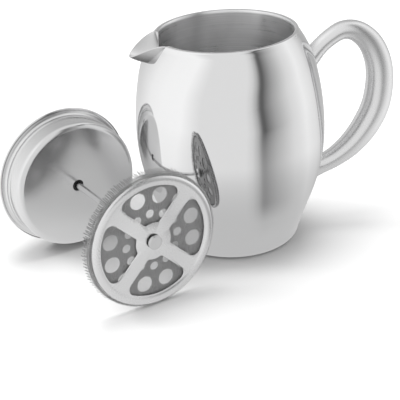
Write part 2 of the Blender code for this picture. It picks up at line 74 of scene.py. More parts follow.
def math_node(tree, operation, first, second=None, third=None):
    made = tree.nodes.new("ShaderNodeMath")
    made.operation = operation
    for index, value in enumerate((first, second, third)):
        if value is None:
            continue
        if hasattr(value, "is_output"):
            tree.links.new(value, made.inputs[index])
        else:
            made.inputs[index].default_value = value
    return made.outputs[0]


def new_group(name, inputs, outputs):
    """An empty shader node group with its sockets, each input as (name, kind, default)."""
    group = bpy.data.node_groups.new(name, "ShaderNodeTree")
    for label, kind, default in inputs:
        socket = group.interface.new_socket(label, in_out="INPUT", socket_type=kind)
        if default is not None:
            socket.default_value = default
    for label, kind in outputs:
        group.interface.new_socket(label, in_out="OUTPUT", socket_type=kind)
    entry = group.nodes.new("NodeGroupInput")
    leave = group.nodes.new("NodeGroupOutput")
    return group, entry, leave


def make_steel_group():
    """Worked steel: a cloudy tone and long buffing lines, given out as colour, roughness and height."""
    inputs = (
        ("Vector", "NodeSocketVector", None),
        ("Tone", "NodeSocketColor", (0.8, 0.8, 0.8, 1.0)),
        ("Tone Change", "NodeSocketFloat", 0.03),
        ("Roughness", "NodeSocketFloat", 0.1),
        ("Roughness Change", "NodeSocketFloat", 0.04),
        ("Line Scale", "NodeSocketVector", (60.0, 60.0, 2500.0)),
        ("Line Depth", "NodeSocketFloat", 0.3),
        ("Wave Depth", "NodeSocketFloat", 0.3),
    )
    outputs = (
        ("Colour", "NodeSocketColor"),
        ("Roughness", "NodeSocketFloat"),
        ("Height", "NodeSocketFloat"),
    )
    group, entry, leave = new_group("buffed_steel", inputs, outputs)
    links = group.links
    stretch = node(group, "ShaderNodeVectorMath", _operation="MULTIPLY")
    links.new(entry.outputs["Vector"], stretch.inputs[0])
    links.new(entry.outputs["Line Scale"], stretch.inputs[1])
    lines = node(group, "ShaderNodeTexNoise", Scale=1.0, Detail=5.0, Roughness=0.65)
    links.new(stretch.outputs[0], lines.inputs["Vector"])
    clouds = node(group, "ShaderNodeTexNoise", Scale=28.0, Detail=3.0, Roughness=0.55)
    links.new(entry.outputs["Vector"], clouds.inputs["Vector"])
    centred_lines = math_node(group, "SUBTRACT", lines.outputs["Fac"], 0.5)
    centred_clouds = math_node(group, "SUBTRACT", clouds.outputs["Fac"], 0.5)
    both = math_node(group, "ADD", centred_lines, centred_clouds)
    shade = math_node(group, "MULTIPLY_ADD", both, entry.outputs["Tone Change"], 1.0)
    tint = node(group, "ShaderNodeVectorMath", _operation="SCALE")
    links.new(entry.outputs["Tone"], tint.inputs[0])
    links.new(shade, tint.inputs["Scale"])
    links.new(tint.outputs[0], leave.inputs["Colour"])
    change = entry.outputs["Roughness Change"]
    rough = math_node(group, "MULTIPLY_ADD", both, change, entry.outputs["Roughness"])
    links.new(math_node(group, "MAXIMUM", rough, 0.015), leave.inputs["Roughness"])
    line_height = math_node(group, "MULTIPLY", centred_lines, entry.outputs["Line Depth"])
    wave = math_node(group, "MULTIPLY", centred_clouds, entry.outputs["Wave Depth"])
    links.new(math_node(group, "ADD", line_height, wave), leave.inputs["Height"])
    return group


buffed_steel = make_steel_group()


def steel(name, tone, roughness, bump=0.1, round_brush=0.0, grain=(60.0, 60.0, 2500.0), turn=None, **values):
    """A metal finish on the shared group; grain is how closely its lines lie along X, Y and Z."""
    material = bpy.data.materials.new(name)
    material.use_nodes = True
    tree = material.node_tree
    shader = tree.nodes["Principled BSDF"]
    shader.inputs["Metallic"].default_value = 1.0
    if round_brush:
        shader.inputs["Anisotropic"].default_value = round_brush
        shader.inputs["Anisotropic Rotation"].default_value = 0.25
    place = node(tree, "ShaderNodeTexCoord")
    source = place.outputs["Object"]
    if turn is not None:
        mapping = node(tree, "ShaderNodeMapping", _vector_type="POINT")
        mapping.inputs["Location"].default_value = turn.to_translation()
        mapping.inputs["Rotation"].default_value = turn.to_euler()
        tree.links.new(source, mapping.inputs["Vector"])
        source = mapping.outputs["Vector"]
    group = tree.nodes.new("ShaderNodeGroup")
    group.node_tree = buffed_steel
    group.inputs["Tone"].default_value = (tone, tone, tone * 1.004, 1.0)
    group.inputs["Roughness"].default_value = roughness
    group.inputs["Line Scale"].default_value = grain
    for key, value in values.items():
        group.inputs[key.replace("_", " ").title()].default_value = value
    tree.links.new(source, group.inputs["Vector"])
    tree.links.new(group.outputs["Colour"], shader.inputs["Base Color"])
    tree.links.new(group.outputs["Roughness"], shader.inputs["Roughness"])
    if bump:
        height = node(tree, "ShaderNodeBump", Strength=bump, Distance=0.0001)
        tree.links.new(group.outputs["Height"], height.inputs["Height"])
        tree.links.new(height.outputs["Normal"], shader.inputs["Normal"])
    return material


def barrel(z):
    """Outer radius of the barrel at a height between its foot and its shoulder."""
    if z >= BELLY_Z:
        neck = NECK_TAPER * max(z - NECK, 0.0) ** 2
        return BELLY - (UPPER_ARC - math.sqrt(UPPER_ARC**2 - (z - BELLY_Z) ** 2)) - neck
    drop = BELLY_Z - max(z, CONE_TOP)
    radius = BELLY - (LOWER_ARC - math.sqrt(LOWER_ARC**2 - drop**2))
    slope = drop / math.sqrt(LOWER_ARC**2 - drop**2)
    return radius - slope * 0.86 * max(CONE_TOP - z, 0.0)


def sweep(points, steps, wall=None):
    """Spins a line of (radius, height) points about Z into a surface that faces outwards, or into a wall."""
    mesh = bmesh.new()
    line = [mesh.verts.new((radius, 0.0, height)) for radius, height in points]
    edges = [mesh.edges.new(pair) for pair in zip(line, line[1:])]
    bmesh.ops.spin(
        mesh,
        geom=line + edges,
        cent=(0.0, 0.0, 0.0),
        axis=(0.0, 0.0, 1.0),
        angle=2.0 * math.pi,
        steps=steps,
        use_merge=True,
    )
    bmesh.ops.remove_doubles(mesh, verts=mesh.verts, dist=1e-7)
    bmesh.ops.recalc_face_normals(mesh, faces=mesh.faces)
    if wall:
        bmesh.ops.solidify(mesh, geom=mesh.faces[:], thickness=wall)
    return mesh


def piece(name, mesh, material, body, replaced=None, matrix=None, sharp=32.0):
    """Puts a finished bmesh in the scene as a named piece that rides on its body."""
    if matrix is not None:
        bmesh.ops.transform(mesh, matrix=matrix, verts=mesh.verts)
    data = bpy.data.meshes.new(name)
    mesh.to_mesh(data)
    mesh.free()
    if material is not None:
        data.materials.append(material)
    data.shade_smooth()
    data.set_sharp_from_angle(angle=math.radians(sharp))
    made = bpy.data.objects.new(name, data)
    scene.collection.objects.link(made)
    if body:
        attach(made, body)
    if replaced:
        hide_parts(replaced)
    return made


def apply_modifiers(target):
    """Bakes the target's modifiers into its mesh."""
    graph = bpy.context.evaluated_depsgraph_get()
    baked = bpy.data.meshes.new_from_object(target.evaluated_get(graph))
    target.modifiers.clear()
    old = target.data
    target.data = baked
    bpy.data.meshes.remove(old)


def cut(target, cutter):
    """Takes the cutter's solid out of the target."""
    modifier = target.modifiers.new("cut", "BOOLEAN")
    modifier.operation = "DIFFERENCE"
    modifier.solver = "EXACT"
    modifier.object = cutter
    apply_modifiers(target)


def arc(centre_r, centre_z, radius, start, end, steps):
    """Points on an arc, angles in degrees from the outward radius towards +Z."""
    turns = [math.radians(start + (end - start) * step / steps) for step in range(steps + 1)]
    return [(centre_r + radius * math.cos(turn), centre_z + radius * math.sin(turn)) for turn in turns]


corner = barrel(FOOT_Z) - FOOT
shell_line = [(FOOT - 0.0006, SHEET), (FOOT - 0.0006, 0.0), (FOOT, 0.0)]
for step in range(1, 10):
    turn = math.pi / 2.0 * step / 10.0
    shell_line.append((FOOT + corner * math.sin(turn), FOOT_Z * (1.0 - math.cos(turn))))
for step in range(61):
    z = FOOT_Z + (SHOULDER - FOOT_Z) * step / 60.0
    shell_line.append((barrel(z), z))
crest = BORE + SHEET + JOINT_GAP + 0.0014
for step in range(1, 17):
    turn = math.pi / 2.0 * step / 16.0
    shell_line.append(
        (
            crest + (barrel(SHOULDER) - crest) * math.cos(turn),
            SHOULDER + (POT_HEIGHT - SHOULDER) * math.sin(turn),
        )
    )
shell_line.append((BORE + SHEET + JOINT_GAP, POT_HEIGHT))
shell_line.append((BORE + SHEET + JOINT_GAP, POT_HEIGHT - SHEET))
inside = [(radius - SHEET, z) for radius, z in shell_line[12:73]]
shell_line += inside[::-1]
shell_line += [(FOOT, SHEET), (FOOT - 0.0006, SHEET)]
shell_steel = steel(
    "mirror_buffed_shell",
    tone=0.80,
    roughness=0.045,
    roughness_change=0.03,
    tone_change=0.02,
    bump=0.035,
    line_depth=0.25,
    wave_depth=0.6,
)
outer_shell = piece(
    "outer_shell", sweep(shell_line, 256), shell_steel, "pot", "pot_outer_shell"
)

# --------------------------------------------------------------------- liner
# The pot's inner cup: straight-walled stainless, brushed round and round on the lathe, so its streaks run
# level and its highlights stand upright. Its top edge is the thin bright line of the rim.

LINER_FLOOR = 0.0095
LINER_CORNER = 0.0100

outer = BORE + SHEET
liner_line = [(0.0, LINER_FLOOR - SHEET)]
liner_line += arc(outer - LINER_CORNER, LINER_FLOOR - SHEET + LINER_CORNER, LINER_CORNER, -90.0, 0.0, 8)
liner_line += [(outer, POT_HEIGHT * 0.6), (outer, POT_HEIGHT - 0.0009)]
liner_line += [(outer + 0.0001, POT_HEIGHT - 0.0004), (outer + 0.0010, POT_HEIGHT + 0.0001)]
liner_line += [(outer + 0.0008, POT_HEIGHT + 0.0002), (BORE + 0.0011, POT_HEIGHT)]
liner_line += [(BORE + 0.0005, POT_HEIGHT - 0.0007)]
liner_line += [(BORE + 0.0001, POT_HEIGHT - 0.0016), (BORE, POT_HEIGHT - 0.0026), (BORE, POT_HEIGHT * 0.6)]
liner_line += arc(
    outer - LINER_CORNER, LINER_FLOOR - SHEET + LINER_CORNER, LINER_CORNER - SHEET, 0.0, -90.0, 8
)
liner_line += [(0.0, LINER_FLOOR)]
liner_steel = steel(
    "lathe_brushed_liner",
    tone=0.80,
    roughness=0.30,
    roughness_change=0.20,
    tone_change=0.34,
    bump=0.5,
    round_brush=0.85,
    grain=(10.0, 10.0, 1100.0),
    line_depth=1.0,
    wave_depth=0.1,
)
liner = piece("inner_liner", sweep(liner_line, 192), liner_steel, "pot", "pot_inner_liner")

# --------------------------------------------------------------------- spout
# A small pressed beak that bridges the two walls through a cut in the rim. Its lip runs on from the rim, its
# channel is left satin, and its underside meets the barrel in a sharp crease.

SPOUT_REACH = 0.0722
SPOUT_HALF = math.radians(22.0)
SPOUT_TIP_Z = 0.1548
SPOUT_ROOT_Z = 0.1485
SPOUT_SHEET = 0.0010


def beak(across, out):
    """A point of the channel: across runs -1..1 from edge to edge, out 0..1 from the bore to the lip."""
    turn = SPOUT_HALF * across
    root = Vector(
        (
            -BORE * math.cos(turn),
            BORE * math.sin(turn),
            SPOUT_ROOT_Z + (POT_HEIGHT - SPOUT_ROOT_Z) * abs(across) ** 5,
        )
    )
    shoulder_r = BORE + 0.0030
    bell = 0.5 + 0.5 * math.cos(math.pi * across)
    start_x = shoulder_r * math.cos(SPOUT_HALF)
    lip = Vector(
        (
            -(start_x + (SPOUT_REACH - start_x) * bell**0.65),
            shoulder_r * math.sin(turn),
            POT_HEIGHT + (SPOUT_TIP_Z - POT_HEIGHT) * bell**1.1,
        )
    )
    point = root.lerp(lip, out)
    sag = 0.0084 * max(out, 0.0) * max(1.0 - out, 0.0) * (1.0 - abs(across) ** 3)
    return point - Vector((0.0, 0.0, sag))


def beak_normal(across, out):
    """The side of the beak's sheet that faces away from its channel."""
    step = 0.004
    side = beak(across + step, out) - beak(across - step, out)
    ahead = beak(across, out + step) - beak(across, out - step)
    return -side.cross(ahead).normalized()


def beak_sheet(offset, first, last, reach, columns, rows, lip_extra=0.0):
    """The channel's surface as a grid, moved outwards by an offset."""
    mesh = bmesh.new()
    bmesh.ops.create_grid(mesh, x_segments=columns, y_segments=rows, size=1.0)
    for vert in mesh.verts:
        across = vert.co.x * reach
        out = first + (last - first) * (vert.co.y + 1.0) / 2.0
        point = beak(across, out) + beak_normal(across, out) * offset
        if vert.co.y > 0.999:
            point += Vector((point.x, point.y, 0.0)).normalized() * lip_extra
        vert.co = point
    return mesh


def beak_room(offset):
    """A solid that clears both walls for the beak: everything above its underside."""
    mesh = beak_sheet(offset, -0.3, 1.02, 0.99, 60, 16, 0.0008)
    lifted = bmesh.ops.extrude_face_region(mesh, geom=mesh.faces[:])["geom"]
    for vert in (item for item in lifted if isinstance(item, bmesh.types.BMVert)):
        vert.co.z = POT_HEIGHT + 0.02
    bmesh.ops.recalc_face_normals(mesh, faces=mesh.faces)
    return piece("beak_room", mesh, None, None)


room = beak_room(SPOUT_SHEET + JOINT_GAP)
cut(outer_shell, room)
cut(liner, room)
bpy.data.objects.remove(room, do_unlink=True)
outer_shell.data.set_sharp_from_angle(angle=math.radians(32.0))
liner.data.set_sharp_from_angle(angle=math.radians(32.0))

beak_mesh = beak_sheet(0.0, 0.0, 1.0, 0.985, 72, 24)
bmesh.ops.recalc_face_normals(beak_mesh, faces=beak_mesh.faces)
upward = sum(face.normal.z * face.calc_area() for face in beak_mesh.faces) > 0.0
bmesh.ops.solidify(beak_mesh, geom=beak_mesh.faces[:], thickness=SPOUT_SHEET if upward else -SPOUT_SHEET)
bmesh.ops.recalc_face_normals(beak_mesh, faces=beak_mesh.faces)
rim_edges = [edge for edge in beak_mesh.edges if edge.calc_face_angle(0.0) > math.radians(50.0)]
bmesh.ops.bevel(
    beak_mesh, geom=rim_edges, offset=0.00028, segments=3, profile=0.5, affect="EDGES", material=-1
)
spout_steel = steel(
    "satin_spout",
    tone=0.80,
    roughness=0.24,
    roughness_change=0.08,
    tone_change=0.04,
    bump=0.06,
    grain=(300.0, 900.0, 300.0),
    line_depth=0.5,
)


def paint_shade_by_height(material, vector, start, end, tone):
    """Paints shade into a steel: darkens its colour to a tone as a vector's Z goes from start to end."""
    tree = material.node_tree
    shader = tree.nodes["Principled BSDF"]
    parts = node(tree, "ShaderNodeSeparateXYZ")
    tree.links.new(vector, parts.inputs[0])
    share = node(tree, "ShaderNodeMapRange", _interpolation_type="SMOOTHSTEP", From__Min=start, From__Max=end)
    tree.links.new(parts.outputs["Z"], share.inputs["Value"])
    mix = node(tree, "ShaderNodeMix", _data_type="RGBA")
    tree.links.new(share.outputs["Result"], mix.inputs["Factor"])
    bright, painted_shade = [socket for socket in mix.inputs if socket.type == "RGBA"]
    painted_shade.default_value = (tone, tone, tone, 1.0)
    tree.links.new(shader.inputs["Base Color"].links[0].from_socket, bright)
    colour = [socket for socket in mix.outputs if socket.type == "RGBA"][0]
    tree.links.new(colour, shader.inputs["Base Color"])


# Painted shade: faces of the spout that point downwards have their colour taken to tone 0.26, a painted shade
# under the beak.
spout_facing = node(spout_steel.node_tree, "ShaderNodeNewGeometry").outputs["Normal"]
paint_shade_by_height(spout_steel, spout_facing, start=-0.10, end=-0.60, tone=0.26)
piece("spout", beak_mesh, spout_steel, "pot", "pot_spout", sharp=50.0)

# -------------------------------------------------------------------- handle
# One bent tube, swelling from the slim upper root to the thick of the grip and back, brushed along its length
# with a fine belt and welded to the shell at both ends.

HANDLE_STATIONS = (
    (0.0600, 0.1300, 0.0062),
    (0.0695, 0.1405, 0.0063),
    (0.0790, 0.1482, 0.0065),
    (0.0900, 0.1532, 0.0070),
    (0.1015, 0.1508, 0.0080),
    (0.1120, 0.1405, 0.0092),
    (0.1182, 0.1250, 0.0101),
    (0.1192, 0.1075, 0.0106),
    (0.1158, 0.0895, 0.0108),
    (0.1072, 0.0735, 0.0104),
    (0.0955, 0.0605, 0.0093),
    (0.0820, 0.0515, 0.0079),
    (0.0700, 0.0468, 0.0072),
    (0.0600, 0.0440, 0.0070),
)
HANDLE_SIDES = 48
HANDLE_STEPS = 8


def smooth_stations(stations, steps):
    """Passes a smooth curve through the stations, as (x, z, radius)."""
    result = []
    for index in range(1, len(stations) - 2):
        for step in range(steps if index < len(stations) - 3 else steps + 1):
            share = step / steps
            values = []
            for axis in range(3):
                p0, p1, p2, p3 = (stations[index + shift][axis] for shift in (-1, 0, 1, 2))
                square = (2.0 * p0 - 5.0 * p1 + 4.0 * p2 - p3) * share**2
                cube = (3.0 * p1 - p0 - 3.0 * p2 + p3) * share**3
                values.append(0.5 * (2.0 * p1 + (p2 - p0) * share + square + cube))
            result.append(values)
    return result


def grow_ring(mesh, ring):
    """Extrudes a closed ring of edges and returns the new ring's vertices."""
    edges = list({edge for vert in ring for edge in vert.link_edges if edge.other_vert(vert) in ring})
    grown = bmesh.ops.extrude_edge_only(mesh, edges=edges)["geom"]
    return [item for item in grown if isinstance(item, bmesh.types.BMVert)]


def handle_mesh():
    """The tube: a circle drawn out along its curve."""
    curve = smooth_stations(HANDLE_STATIONS, HANDLE_STEPS)
    curve = [list(HANDLE_STATIONS[0])] + curve + [list(HANDLE_STATIONS[-1])]
    for point in curve:
        lift_off = max(point[0] - barrel(point[1]), 0.0)
        point[2] *= 1.0 + 0.22 * math.exp(-lift_off / 0.003)
    mesh = bmesh.new()
    ring = bmesh.ops.create_circle(mesh, segments=HANDLE_SIDES, radius=1.0)["verts"]
    rings = []
    for index, (x, z, radius) in enumerate(curve):
        if index:
            ring = grow_ring(mesh, ring)
        rings.append(ring)
    for index, (x, z, radius) in enumerate(curve):
        before = curve[max(index - 1, 0)]
        after = curve[min(index + 1, len(curve) - 1)]
        along = Vector((after[0] - before[0], 0.0, after[1] - before[1])).normalized()
        side = Vector((0.0, 1.0, 0.0))
        turn = Matrix((side, along.cross(side), along)).transposed().to_4x4()
        turn.translation = Vector((x, 0.0, z))
        for vert in rings[index]:
            vert.co = turn @ Vector((vert.co.x * radius, vert.co.y * radius, 0.0))
    bmesh.ops.recalc_face_normals(mesh, faces=mesh.faces)
    bmesh.ops.solidify(mesh, geom=mesh.faces[:], thickness=0.0011)
    return mesh


handle_steel = steel(
    "belt_brushed_handle",
    tone=0.82,
    roughness=0.28,
    roughness_change=0.08,
    tone_change=0.06,
    bump=0.12,
    grain=(900.0, 2600.0, 900.0),
    line_depth=0.5,
    wave_depth=0.2,
)
handle = piece("handle", handle_mesh(), handle_steel, "pot", "pot_handle", sharp=60.0)
body_line = [(0.0, 0.0)]
body_line += [(barrel(SHOULDER * step / 40.0) + JOINT_GAP, SHOULDER * step / 40.0) for step in range(41)]
body_line.append((0.0, SHOULDER))
body_mesh = sweep(body_line, 256)
body_solid = piece("body_solid", body_mesh, None, None)
cut(handle, body_solid)
bpy.data.objects.remove(body_solid, do_unlink=True)
handle.data.set_sharp_from_angle(angle=math.radians(60.0))

# ----------------------------------------------------- base disc and its pads
# Pieces that stay out of sight: the pressed disc that closes the double wall underneath, and the two backing
# pads spot-welded inside the shell behind the handle. Plain rolled sheet, straight from the press.

base_steel = steel(
    "pressed_base",
    tone=0.60,
    roughness=0.34,
    roughness_change=0.12,
    tone_change=0.10,
    bump=0.3,
)
pad_steel = steel(
    "plain_sheet",
    tone=0.50,
    roughness=0.42,
    roughness_change=0.12,
    tone_change=0.12,
    bump=0.3,
)


def finish_node(name, material):
    """Gives a carried-over CAD node its finish."""
    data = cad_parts[name].data
    data.materials.clear()
    data.materials.append(material)


finish_node("pot_base_disc", base_steel)
finish_node("handle_upper_pad", pad_steel)
finish_node("handle_lower_pad", pad_steel)

# ----------------------------------------------------------------- lid cover
# The lid's domed top: spun sheet, polished all over, its edge rolled under round the cup's flange. It lies on
# that edge and on the filter, so the whole lid assembly is built upright and then laid down by one matrix.

FLANGE = 0.0541
FLANGE_EDGE = 0.0009
DOME = 0.0180
SKIRT = 0.0494
LID_DEPTH = 0.0230
LID_CORNER = 0.0050
ROD_HOLE = 0.0043
FILTER_DROP = 0.1119
FILTER_R = 0.0504
PLATE = -LID_DEPTH - FILTER_DROP

mesh_distance = LID_DEPTH + FILTER_DROP - 0.0013
tilt = math.atan((FLANGE - FILTER_R) / mesh_distance)
yaw = math.radians(-71.35)
along = Vector((math.cos(yaw) * math.cos(tilt), math.sin(yaw) * math.cos(tilt), -math.sin(tilt)))
level = Vector((0.0, 0.0, 1.0)).cross(-along).normalized()
lid_matrix = Matrix((level, (-along).cross(level), -along)).transposed().to_4x4()
lid_matrix.translation = Vector((-0.1247, 0.0353, FLANGE * math.cos(tilt) + 0.0001))
to_lid = lid_matrix.inverted()

dome_edge = SKIRT + 0.0012
base_z = 0.0013
cover_line = []
start_turn = math.asin(0.0046 / dome_edge)
for step in range(33):
    turn = min(start_turn + (math.pi / 2.0 - 0.12) * step / 32.0, math.pi / 2.0)
    cover_line.append((dome_edge * math.sin(turn), base_z + (DOME - base_z) * math.cos(turn)))
cover_line.append((dome_edge + 0.0008, base_z + 0.0002))
cover_line += arc(FLANGE - FLANGE_EDGE, base_z - FLANGE_EDGE * 0.6, FLANGE_EDGE, 80.0, -75.0, 10)
lid_steel = steel(
    "mirror_spun_cover",
    tone=0.80,
    roughness=0.05,
    roughness_change=0.03,
    tone_change=0.02,
    bump=0.035,
    turn=to_lid,
    line_depth=0.25,
    wave_depth=0.5,
)
piece(
    "lid_cover_skin",
    sweep(cover_line, 192, 0.0007),
    lid_steel,
    "lid",
    "lid_cover",
    lid_matrix,
)

# ------------------------------------------------------------- lid inner cup
# The drawn cup under the dome, which drops into the pot's bore: a flange, a bead that meets the bore, a plain
# skirt, a soft corner and a flat face with the rod's hole. Polished, less finely than the outside.

cup_line = [
    (FLANGE - FLANGE_EDGE - 0.0011, 0.0),
    (SKIRT + 0.0016, 0.0),
    (SKIRT + 0.0006, -0.0003),
    (SKIRT, -0.0010),
    (SKIRT - 0.0006, -0.0020),
    (SKIRT - 0.0006, -0.0036),
    (SKIRT - 0.0002, -0.0044),
]
cup_line += arc(SKIRT - 0.0003, -0.0052, 0.0007, 70.0, -70.0, 6)
cup_line += [(SKIRT - 0.0002, -0.0062), (SKIRT - 0.0003, -0.0070)]
cup_line += arc(SKIRT - LID_CORNER, LID_CORNER - LID_DEPTH, LID_CORNER, 0.0, -90.0, 12)
cup_line += [(0.030, -LID_DEPTH), (0.015, -LID_DEPTH), (ROD_HOLE + 0.0008, -LID_DEPTH)]
cup_line += [(ROD_HOLE + 0.0002, -LID_DEPTH + 0.0001), (ROD_HOLE, -LID_DEPTH + 0.0004)]
cup_line += [(ROD_HOLE, -LID_DEPTH + 0.0007)]
cup_steel = steel(
    "polished_cup",
    tone=0.74,
    roughness=0.19,
    roughness_change=0.05,
    tone_change=0.03,
    bump=0.05,
    turn=to_lid,
    line_depth=0.3,
    wave_depth=0.6,
)
cup_mesh = sweep(cup_line[::-1], 192)
if sum(face.normal.z * face.calc_area() for face in cup_mesh.faces) > 0.0:
    bmesh.ops.reverse_faces(cup_mesh, faces=cup_mesh.faces)
bmesh.ops.solidify(cup_mesh, geom=cup_mesh.faces[:], thickness=0.0006)
piece("lid_cup", cup_mesh, cup_steel, "lid", "lid_inner_cup", lid_matrix)

# -------------------------------------------------------------- rod's guides
# A black moulded bush snapped into the hole of the face, and a turned steel collar pressed into the dome.
# Both are plain turned shapes with broken edges.

ROD = 0.0025
BORE_ROD = ROD + 0.0003


def ring_line(points):
    """Closes a section's outline."""
    return points + [points[0]]


bush_z = -LID_DEPTH
bush_line = ring_line(
    [
        (BORE_ROD, bush_z + 0.0055),
        (BORE_ROD, bush_z + 0.0007),
        (BORE_ROD + 0.0003, bush_z + 0.0004),
        (ROD_HOLE - 0.0005, bush_z + 0.0004),
        (ROD_HOLE - 0.0003, bush_z + 0.0006),
        (ROD_HOLE - 0.0003, bush_z + 0.0010),
        (0.0068, bush_z + 0.0010),
        (0.0068, bush_z + 0.0028),
        (0.0045, bush_z + 0.0055),
    ]
)
bush_plastic = bpy.data.materials.new("moulded_black_bush")
bush_plastic.use_nodes = True
bush_tree = bush_plastic.node_tree
bush_shader = bush_tree.nodes["Principled BSDF"]
bush_place = node(bush_tree, "ShaderNodeTexCoord")
bush_grain = node(bush_tree, "ShaderNodeTexNoise", Scale=900.0, Detail=3.0)
bush_tree.links.new(bush_place.outputs["Object"], bush_grain.inputs["Vector"])
bush_ramp = node(bush_tree, "ShaderNodeMix", _data_type="RGBA")
bush_ramp.inputs[6].default_value = (0.012, 0.012, 0.012, 1.0)
bush_ramp.inputs[7].default_value = (0.035, 0.035, 0.036, 1.0)
bush_tree.links.new(bush_grain.outputs["Fac"], bush_ramp.inputs["Factor"])
bush_tree.links.new(bush_ramp.outputs[2], bush_shader.inputs["Base Color"])
bush_rough = math_node(bush_tree, "MULTIPLY_ADD", bush_grain.outputs["Fac"], 0.2, 0.35)
bush_tree.links.new(bush_rough, bush_shader.inputs["Roughness"])
bush_bump = node(bush_tree, "ShaderNodeBump", Strength=0.15, Distance=0.0001)
bush_tree.links.new(bush_grain.outputs["Fac"], bush_bump.inputs["Height"])
bush_tree.links.new(bush_bump.outputs["Normal"], bush_shader.inputs["Normal"])
piece("rod_bush", sweep(bush_line, 48), bush_plastic, "lid", "lid_rod_bush", lid_matrix)

collar_top = DOME + 0.0003
collar_line = ring_line(
    [
        (BORE_ROD, collar_top + 0.0032),
        (BORE_ROD, DOME - 0.0040),
        (0.0041, DOME - 0.0040),
        (0.0041, collar_top),
        (0.0076, collar_top),
        (0.0078, collar_top + 0.0002),
        (0.0078, collar_top + 0.0014),
        (0.0074, collar_top + 0.0020),
        (0.0064, collar_top + 0.0024),
        (0.0060, collar_top + 0.0032),
        (0.0058, collar_top + 0.0034),
        (BORE_ROD + 0.0002, collar_top + 0.0034),
    ]
)
turned_steel = steel(
    "turned_collar",
    tone=0.72,
    roughness=0.13,
    roughness_change=0.06,
    tone_change=0.04,
    bump=0.2,
    turn=to_lid,
    grain=(300.0, 300.0, 5200.0),
    line_depth=0.5,
)
collar_mesh = sweep(collar_line, 64)
piece("dome_collar", collar_mesh, turned_steel, "lid", "lid_top_collar", lid_matrix)

# ---------------------------------------------------------- rod and its stop
# A 5 mm ground rod with rounded ends, and the small turned collar near its lower end that the filter is
# screwed up against.

ROD_TOP = 0.0560
rod_low = PLATE - 0.0012
rod_line = [(0.0, rod_low), (ROD - 0.0004, rod_low)]
rod_line += [(ROD - 0.0001, rod_low + 0.0002), (ROD, rod_low + 0.0005)]
rod_line += [(ROD, PLATE + 0.01), (ROD, -0.06), (ROD, 0.0), (ROD, ROD_TOP - 0.0005)]
rod_line += [(ROD - 0.0001, ROD_TOP - 0.0002), (ROD - 0.0004, ROD_TOP), (0.0, ROD_TOP)]
rod_steel = steel(
    "ground_rod",
    tone=0.74,
    roughness=0.11,
    roughness_change=0.05,
    tone_change=0.04,
    bump=0.12,
    turn=to_lid,
    grain=(500.0, 500.0, 3800.0),
    line_depth=0.4,
)
piece("rod", sweep(rod_line, 40), rod_steel, "plunger", "plunger_rod", lid_matrix)

stop_low = PLATE + 0.0034
stop_line = ring_line(
    [
        (BORE_ROD, stop_low + 0.0002),
        (BORE_ROD + 0.0002, stop_low),
        (0.0063, stop_low),
        (0.0065, stop_low + 0.0002),
        (0.0065, stop_low + 0.0028),
        (0.0063, stop_low + 0.0031),
        (0.0055, stop_low + 0.0040),
        (BORE_ROD + 0.0002, stop_low + 0.0040),
        (BORE_ROD, stop_low + 0.0038),
    ]
)
stop_steel = steel(
    "turned_stop",
    tone=0.68,
    roughness=0.20,
    roughness_change=0.08,
    tone_change=0.05,
    bump=0.25,
    turn=to_lid,
    grain=(300.0, 300.0, 5200.0),
    line_depth=0.6,
)
piece("rod_stop", sweep(stop_line, 48), stop_steel, "plunger", "rod_stop_collar", lid_matrix)

# ---------------------------------------------------------------------- knob
# A solid polished ball with a short neck, drilled and lined with a threaded insert for the rod.

KNOB = 0.0125
KNOB_Z = 0.0515
neck = 0.0062
low_turn = math.degrees(math.acos(neck / KNOB))
knob_low = KNOB_Z - math.sqrt(KNOB**2 - neck**2) - 0.0016
knob_line = [(0.0, KNOB_Z + KNOB)]
knob_line += arc(0.0, KNOB_Z, KNOB, 88.0, -low_turn, 34)
knob_line += [(neck, knob_low + 0.0004), (neck - 0.0003, knob_low)]
knob_line += [(0.0049, knob_low), (0.0046, knob_low + 0.0003)]
knob_line += [(0.0046, ROD_TOP + 0.0012), (0.0, ROD_TOP + 0.0012)]
knob_steel = steel(
    "mirror_ball",
    tone=0.80,
    roughness=0.045,
    roughness_change=0.03,
    tone_change=0.02,
    bump=0.03,
    turn=to_lid,
    line_depth=0.2,
    wave_depth=0.4,
)
piece("knob_ball", sweep(knob_line, 96), knob_steel, "knob", "plunger_knob", lid_matrix)
insert_steel = steel(
    "turned_insert",
    tone=0.58,
    roughness=0.34,
    roughness_change=0.10,
    tone_change=0.08,
    bump=0.3,
    turn=to_lid,
    grain=(300.0, 300.0, 5200.0),
)
finish_node("knob_insert", insert_steel)

# --------------------------------------------------------------- cross plate
# The filter's outer plate: a stamped and tumbled disc with four quarter windows between its spokes, its rim
# rolled into a soft bulge. The windows' edges are rounded over by the press and by tumbling.

CROSS = 0.0483
WINDOW_IN = 0.0140
WINDOW_OUT = 0.0415
WINDOW_CORNER = 0.0055
SPOKE = 0.0108
SPOKE_TURN = math.radians(44.0)
window_turn = SPOKE_TURN + math.pi / 4.0

plate_line = [(0.0042, PLATE + 0.0010), (0.0042, PLATE), (0.020, PLATE), (WINDOW_OUT + 0.0006, PLATE)]
for step in range(1, 17):
    share = step / 16.0
    rise = 0.0009 * math.sin(math.pi * share**0.85 * 0.86) - 0.0004 * max(share - 0.8, 0.0) / 0.2
    plate_line.append((WINDOW_OUT + 0.0008 + (CROSS - WINDOW_OUT - 0.0009) * share, PLATE - rise))
plate_line += [(CROSS, PLATE + 0.0004), (CROSS, PLATE + 0.0008), (CROSS - 0.0002, PLATE + 0.0010)]
plate_line += [(0.030, PLATE + 0.0010), (0.0042, PLATE + 0.0010)]


